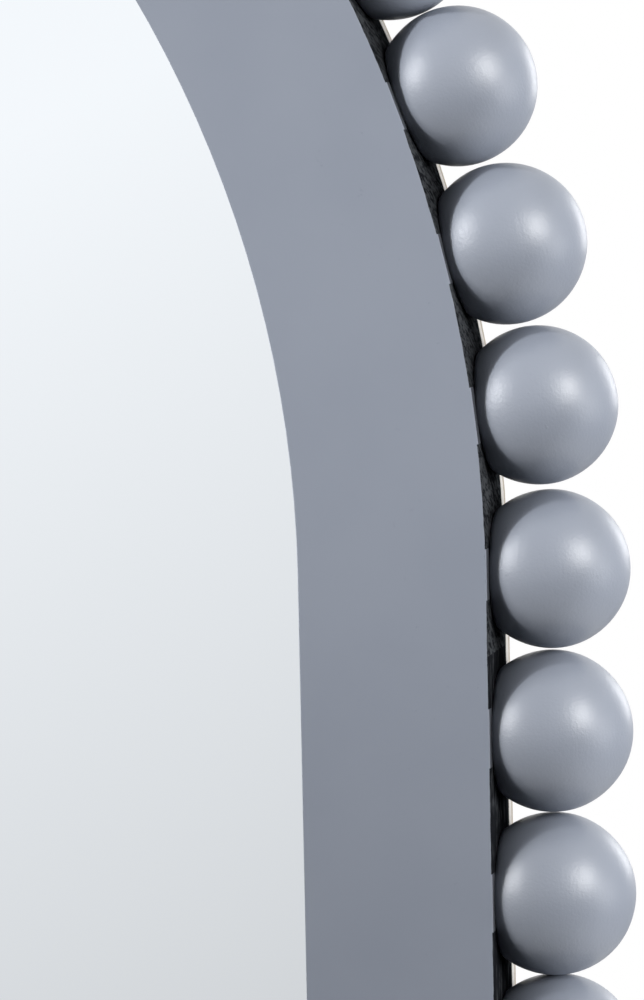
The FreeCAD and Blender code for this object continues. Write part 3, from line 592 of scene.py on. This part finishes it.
def uneven_balls(shape, start, angle, outward):
    """Balls that touch the outer level, of uneven size, roundness and tone, each turned at random."""
    seed = shape.given("Seed")
    radius = shape.given("Ball Radius")
    size = shape.chance(shape.given("Least Size"), shape.given("Greatest Size"), seed)
    position = shape.add("GeometryNodeInputPosition")
    sphere = shape.add("GeometryNodeMeshIcoSphere", None,
                       {"Radius": radius, "Subdivisions": BALL_SUBDIVISIONS})
    sphere = shape.keep(sphere, "on_ball", "FLOAT_VECTOR", "POINT", position)
    reach = shape.given("Outer Level") - size * radius
    centres = shape.add("GeometryNodePoints", None, {
        "Count": shape.given("Count"), "Position": shape.sum_of(start, shape.scaled(outward, reach))})
    balls = shape.add("GeometryNodeInstanceOnPoints", None, {
        "Points": centres, "Instance": sphere, "Scale": shape.vector(size, size, size),
        "Rotation": shape.vector(shape.chance(0.0, math.tau, seed + 2), -angle, 0.0)})
    balls = shape.keep(balls, "ball_tone", "FLOAT", "INSTANCE", shape.chance(0.0, 1.0, seed + 3))
    balls = shape.keep(balls, "ball_outward", "FLOAT_VECTOR", "INSTANCE", outward)
    balls = shape.add("GeometryNodeRealizeInstances", None, {"Geometry": balls})
    push = -shape.given("Unevenness") * shape.noise(position, UNEVENNESS_SCALE, detail=1.0)
    balls = shape.set_points(balls, offset=shape.scaled(shape.add("GeometryNodeInputNormal"), push))

    # The largest ball is as deep as the plain ones, and the others are drawn in as much
    middle = shape.axis(shape.given("Start"), 1)
    depth = middle + (shape.axis(position, 1) - middle) / shape.given("Greatest Size")
    drawn_in = shape.vector(shape.axis(position, 0), depth, shape.axis(position, 2))
    return shape.set_points(balls, position=drawn_in)


def seated_balls(shape, balls):
    """Balls cut flat where they meet the rim, and smooth everywhere else."""
    position = shape.add("GeometryNodeInputPosition")
    outward = shape.add("GeometryNodeInputNamedAttribute", {"data_type": "FLOAT_VECTOR"},
                        {"Name": "ball_outward"})
    level = shape.vector_maths("DOT_PRODUCT", position, outward, output=1)
    lift = shape.maths("MAXIMUM", shape.given("Rim Level") - level, 0.0)
    balls = shape.set_points(balls, offset=shape.scaled(outward, lift))
    clear = shape.maths("GREATER_THAN", level, shape.given("Rim Level") + SEAT_TOLERANCE)
    return shape.add("GeometryNodeSetShadeSmooth", {"domain": "FACE"},
                     {"Geometry": balls, "Shade Smooth": clear})


def paint_tongues(shape, start, angle, outward):
    """A tongue of paint no thicker than a film, on the rim at each ball, of uneven length."""
    tongue = shape.shifted(shape.block(shape.given("Tongue Size")), shape.given("Tongue Place"))
    roots = shape.add("GeometryNodePoints", None, {
        "Count": shape.given("Count"),
        "Position": shape.sum_of(start, shape.scaled(outward, shape.given("Rim Level")))})
    return shape.add("GeometryNodeInstanceOnPoints", None, {
        "Points": roots, "Instance": tongue, "Rotation": shape.vector(0.0, -angle, 0.0),
        "Scale": shape.vector(1.0, 1.0, shape.chance(*TONGUE_LENGTHS, shape.given("Seed") + 4))})


def make_balls():
    """The six rows of balls, in place of the plain ones."""
    shape = ball_row_shape()
    material = ball_finish()
    centre = (0.0, BALL_MIDDLE, 0.0)
    still = (0.0, 0.0, 0.0)
    first_side = (0.0, BALL_MIDDLE, -SIDE_PITCH)
    down = (0.0, 0.0, -SIDE_PITCH)
    first_bottom = (-BOTTOM_SPAN / 2, BALL_MIDDLE, 0.0)
    across = (BOTTOM_PITCH, 0.0, 0.0)
    crown_start = ARCH_STEP * ARCH_SIDE_BALLS
    rows = {
        "balls_right_side": (SIDE_BALLS, 0.0, 0.0, RIM_RADIUS, first_side, down),
        "balls_left_side": (SIDE_BALLS, math.pi, 0.0, RIM_RADIUS, first_side, down),
        "balls_arch_right": (ARCH_SIDE_BALLS, 0.0, ARCH_STEP, RIM_RADIUS, centre, still),
        "balls_arch_left": (ARCH_SIDE_BALLS, math.pi, -ARCH_STEP, RIM_RADIUS, centre, still),
        "balls_arch_crown": (CROWN_BALLS, crown_start, ARCH_STEP, RIM_RADIUS, centre, still),
        "balls_bottom": (BOTTOM_BALLS, -math.pi / 2, 0.0, SIDE_LENGTH, first_bottom, across),
    }
    tongue_depth = FRONT + TONGUE_INSET + TONGUE_SIZE[1] / 2 - BALL_MIDDLE
    tongue_place = (TONGUE_RISE - TONGUE_SIZE[0] / 2, tongue_depth, 0.0)
    for node, (count, first, step, rim, start, move) in rows.items():
        sizes = BOTTOM_SIZES if node == "balls_bottom" else BALL_SIZES
        piece = make(f"painted_{node}", shape, {
            "Count": count, "First Angle": first, "Angle Step": step, "Start": start, "Step": move,
            "Rim Level": rim, "Outer Level": rim + SEAT_OFFSET + BALL_RADIUS, "Ball Radius": BALL_RADIUS,
            "Least Size": sizes[0], "Greatest Size": sizes[1], "Wander": BALL_WANDER,
            "Unevenness": BALL_UNEVENNESS, "Tongue Size": TONGUE_SIZE, "Tongue Place": tongue_place,
            "Seed": ROW_SEEDS[node], "Material": material})
        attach(piece, "mirror_body")
        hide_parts(node)


def screw_shape():
    """Pan-headed screws with a cross recess, driven in from behind at each given point."""
    shape = Shape("screws", {
        "Head Radius": "Float", "Head Height": "Float", "Shank Radius": "Float", "Shank Length": "Float",
        "Recess Length": "Float", "Recess Width": "Float", "Recess Depth": "Float", "Seed": "Int",
        "Material": "Material"})
    height = shape.given("Head Height")
    blank = shape.add("GeometryNodeMeshCylinder", {"fill_type": "NGON"}, {
        "Vertices": HEAD_SIDES, "Side Segments": HEAD_RINGS, "Radius": shape.given("Head Radius"),
        "Depth": height})
    position = shape.add("GeometryNodeInputPosition")
    share = shape.axis(position, 2) * (1.0 / height) + 0.5
    pull = 1 - CROWN_PULL * shape.maths("POWER", share, CROWN_POWER)
    crowned = shape.vector(shape.axis(position, 0) * pull, shape.axis(position, 1) * pull, share * height)
    head = shape.set_points(blank, position=crowned)

    long, wide = shape.given("Recess Length"), shape.given("Recess Width")
    deep = shape.given("Recess Depth") * 2
    top = shape.vector(0.0, 0.0, height)
    for size in (shape.vector(long, wide, deep), shape.vector(wide, long, deep)):
        head = shape.cut(head, shape.shifted(shape.block(size), top))

    shank_length = shape.given("Shank Length")
    shank = shape.add("GeometryNodeMeshCylinder", {"fill_type": "NGON"}, {
        "Vertices": SHANK_SIDES, "Radius": shape.given("Shank Radius"), "Depth": shank_length})
    shank = shape.shifted(shank, shape.vector(0.0, 0.0, shank_length * -0.5))

    turn = shape.vector(-math.pi / 2, shape.chance(0.0, math.tau, shape.given("Seed")), 0.0)
    screws = shape.add("GeometryNodeInstanceOnPoints", None, {
        "Points": shape.given("Geometry"), "Instance": shape.join(head, shank), "Rotation": turn})
    shape.end(screws)
    return shape


def make_screws():
    """The panel's and the hangers' screws, in place of the plain ones."""
    shape = screw_shape()
    material = plated_finish("zinc_screw", *ZINC, ZINC_ROUGHNESS)
    for node, seed in SCREW_SEEDS.items():
        low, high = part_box(node)
        seat = high.y - HEAD_HEIGHT
        spots = [Vector((x, seat, z)) for x, z in screw_spots(node)]
        piece = make(f"cross_{node}", shape, {
            "Head Radius": HEAD_RADIUS, "Head Height": HEAD_HEIGHT, "Shank Radius": SCREW_RADIUS,
            "Shank Length": seat - low.y, "Recess Length": RECESS_LENGTH, "Recess Width": RECESS_WIDTH,
            "Recess Depth": RECESS_DEPTH, "Seed": seed, "Material": material}, spots)
        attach(piece, "mirror_body")
        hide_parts(node)


def screw_spots(node):
    """The middles of a CAD node's screws, in X and Z, from its mesh's separate clumps."""
    clumps = {}
    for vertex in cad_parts[node].data.vertices:
        corner = (vertex.co.x, vertex.co.z)
        first = next((spot for spot in clumps if math.dist(spot, corner) < SCREW_REACH), corner)
        clumps.setdefault(first, []).append(corner)
    return [[(min(side) + max(side)) / 2 for side in zip(*clump)] for clump in clumps.values()]


# The floor: how far it reaches, how far below the mirror it lies, and where it fades out
FLOOR_REACH = 2.0
FLOOR_GAP = 1.0 * MM
FLOOR_FADE = (0.7, 1.7)


def make_floor():
    """A plain pale floor that fades into the white round it."""
    finish = Finish("pale_floor")
    fade = finish.ease(finish.length(finish.place()), *FLOOR_FADE)
    paper = finish.add("ShaderNodeBsdfDiffuse", None, {"Color": FLOOR_GREY})
    clear = finish.add("ShaderNodeBsdfTransparent")
    mesh = bpy.data.meshes.new("floor")
    corners = [(x * FLOOR_REACH, y * FLOOR_REACH, 0) for x, y in ((-1, -1), (1, -1), (1, 1), (-1, 1))]
    mesh.from_pydata(corners, [], [(0, 1, 2, 3)])
    mesh.materials.append(finish.show(finish.mix_surfaces(fade, paper, clear)))
    floor = bpy.data.objects.new("floor", mesh)
    floor.location = (0.0, 0.0, cad_box[0].z - FLOOR_GAP)
    floor.visible_diffuse = False
    bpy.context.scene.collection.objects.link(floor)


# The world by height, brighter to the left: what shiny surfaces show, and the soft light on the rest
WORLD_TILT = -0.5
STUDIO_STOPS = [(0.0, (0.20, 0.20, 0.21, 1)), (0.34, (0.42, 0.42, 0.43, 1)), (0.459, (0.69, 0.69, 0.69, 1)),
                (0.559, WHITE), (1.0, WHITE)]
AMBIENT_STOPS = [(0.0, (0.014, 0.015, 0.017, 1)), (0.5, (0.036, 0.038, 0.041, 1)),
                 (1.0, (0.058, 0.060, 0.064, 1))]


def light_world():
    """White to the camera, a pale studio to shiny surfaces, and a soft low light to the rest."""
    world = bpy.data.worlds.new("studio")
    bpy.context.scene.world = world
    world.use_nodes = True
    world.node_tree.nodes.clear()
    bench = Bench(world.node_tree)
    direction = bench.add("ShaderNodeTexCoord", output="Generated")
    height = bench.axis(direction, 2) + bench.axis(direction, 0) * WORLD_TILT
    share = height * 0.5 + 0.5
    studio = bench.add("ShaderNodeValToRGB", {"stops": STUDIO_STOPS}, {0: share})
    ambient = bench.add("ShaderNodeValToRGB", {"stops": AMBIENT_STOPS}, {0: share})
    glossy = bench.add("ShaderNodeLightPath", output="Is Glossy Ray")
    seen = bench.maths("MAXIMUM", bench.add("ShaderNodeLightPath", output="Is Camera Ray"),
                       bench.add("ShaderNodeLightPath", output="Is Transmission Ray"))
    colour = bench.blend(seen, bench.blend(glossy, ambient, studio), WHITE)
    sky = bench.add("ShaderNodeBackground", None, {"Color": colour, "Strength": 1.0})
    bench.add("ShaderNodeOutputWorld", None, {"Surface": sky})


def heading(bearing, rise):
    """The way to a lamp or the camera: its bearing, to the right of straight ahead, and rise, in degrees."""
    bearing, rise = math.radians(bearing), math.radians(rise)
    return Vector((math.sin(bearing) * math.cos(rise), -math.cos(bearing) * math.cos(rise), math.sin(rise)))


# Soft boxes: where each stands and what it faces, its width, height and radiance
RIGHT_SIDE = Vector((0.33, -0.022, 0.0))
BACK_MIDDLE = Vector((0.0, 0.0, -0.15))
SOFT_BOXES = {
    "left_shine": (RIGHT_SIDE + heading(-56, 18) * 4.0, RIGHT_SIDE, 0.95, 2.10, 9.8),
    "left_fill": (RIGHT_SIDE + heading(-67, 18) * 4.0, RIGHT_SIDE, 1.80, 2.00, 9.2),
    "right_box": (RIGHT_SIDE + heading(54, 23) * 4.0, RIGHT_SIDE, 1.87, 2.00, 9.8),
    "right_fill": (RIGHT_SIDE + heading(83, -2) * 2.1, RIGHT_SIDE, 1.20, 0.90, 11.5),
    "rim_box": (RIGHT_SIDE + heading(153, 9) * 2.0, RIGHT_SIDE, 0.60, 0.75, 4.9),
    "back_box": (BACK_MIDDLE + heading(205, 24) * 2.3, BACK_MIDDLE, 1.60, 1.60, 4.6),
}
SHINE_ONLY = {"left_shine"}
NO_SHINE = {"left_fill", "right_fill", "back_box"}

# A round pool of light on the arch, that shows in no reflection and fades downwards
POOL_AIM = Vector((0.0, -0.04, 0.50))
POOL_DISTANCE = 2.2
POOL_PLACE = POOL_AIM + heading(-58, 17) * POOL_DISTANCE
POOL_RADIUS = 0.44
POOL_ANGLE = 2 * math.atan(POOL_RADIUS / POOL_DISTANCE)
POOL_SOFTNESS = 0.40
POOL_LAMP_RADIUS = 0.07
POOL_POWER = 212.0


def add_lamp(name, kind, place, aim, energy):
    """A lamp that the camera doesn't see."""
    lamp = bpy.data.lights.new(name, kind)
    lamp.energy = energy
    holder = bpy.data.objects.new(name, lamp)
    holder.location = place
    holder.rotation_mode = "QUATERNION"
    holder.rotation_quaternion = (aim - place).to_track_quat("-Z", "Y")
    holder.visible_camera = False
    bpy.context.scene.collection.objects.link(holder)
    return holder


def add_soft_box(name, place, aim, width, height, radiance):
    """An area lamp, whose power is its radiance times its area times pi."""
    box = add_lamp(name, "AREA", place, aim, radiance * width * height * math.pi)
    box.data.shape = "RECTANGLE"
    box.data.size = width
    box.data.size_y = height
    box.visible_diffuse = name not in SHINE_ONLY
    box.visible_glossy = name not in NO_SHINE


def light_studio():
    """The world, the soft boxes and the pool of light."""
    light_world()
    for name, settings in SOFT_BOXES.items():
        add_soft_box(name, *settings)
    pool = add_lamp("arch_pool", "SPOT", POOL_PLACE, POOL_AIM, POOL_POWER)
    pool.data.spot_size = POOL_ANGLE
    pool.data.spot_blend = POOL_SOFTNESS
    pool.data.shadow_soft_size = POOL_LAMP_RADIUS
    pool.visible_glossy = False


# The camera, fitted to the photograph: where it looks, its heading from there in degrees, roll and distance
CAMERA_AIM = Vector((281.26 * MM, FRONT, 17.69 * MM))
CAMERA_HEADING = heading(10.626, 4.104)
CAMERA_ROLL = math.radians(-1.202)
CAMERA_DISTANCE = 1.25
FOCAL_PIXELS = 5321.4
IMAGE_HEIGHT_PIXELS = 1000


def set_camera():
    """The view of the photograph."""
    data = bpy.data.cameras.new("camera")
    data.lens = FOCAL_PIXELS * data.sensor_width / IMAGE_HEIGHT_PIXELS
    camera = bpy.data.objects.new("camera", data)
    camera.location = CAMERA_AIM + CAMERA_HEADING * CAMERA_DISTANCE
    camera.rotation_mode = "QUATERNION"
    level_view = (-CAMERA_HEADING).to_track_quat("-Z", "Y")
    camera.rotation_quaternion = level_view @ Quaternion((0, 0, 1), CAMERA_ROLL)
    bpy.context.scene.collection.objects.link(camera)
    bpy.context.scene.camera = camera


bpy.context.scene.view_settings.view_transform = "Standard"
dress_solids()
make_balls()
make_screws()
make_floor()
light_studio()
set_camera()
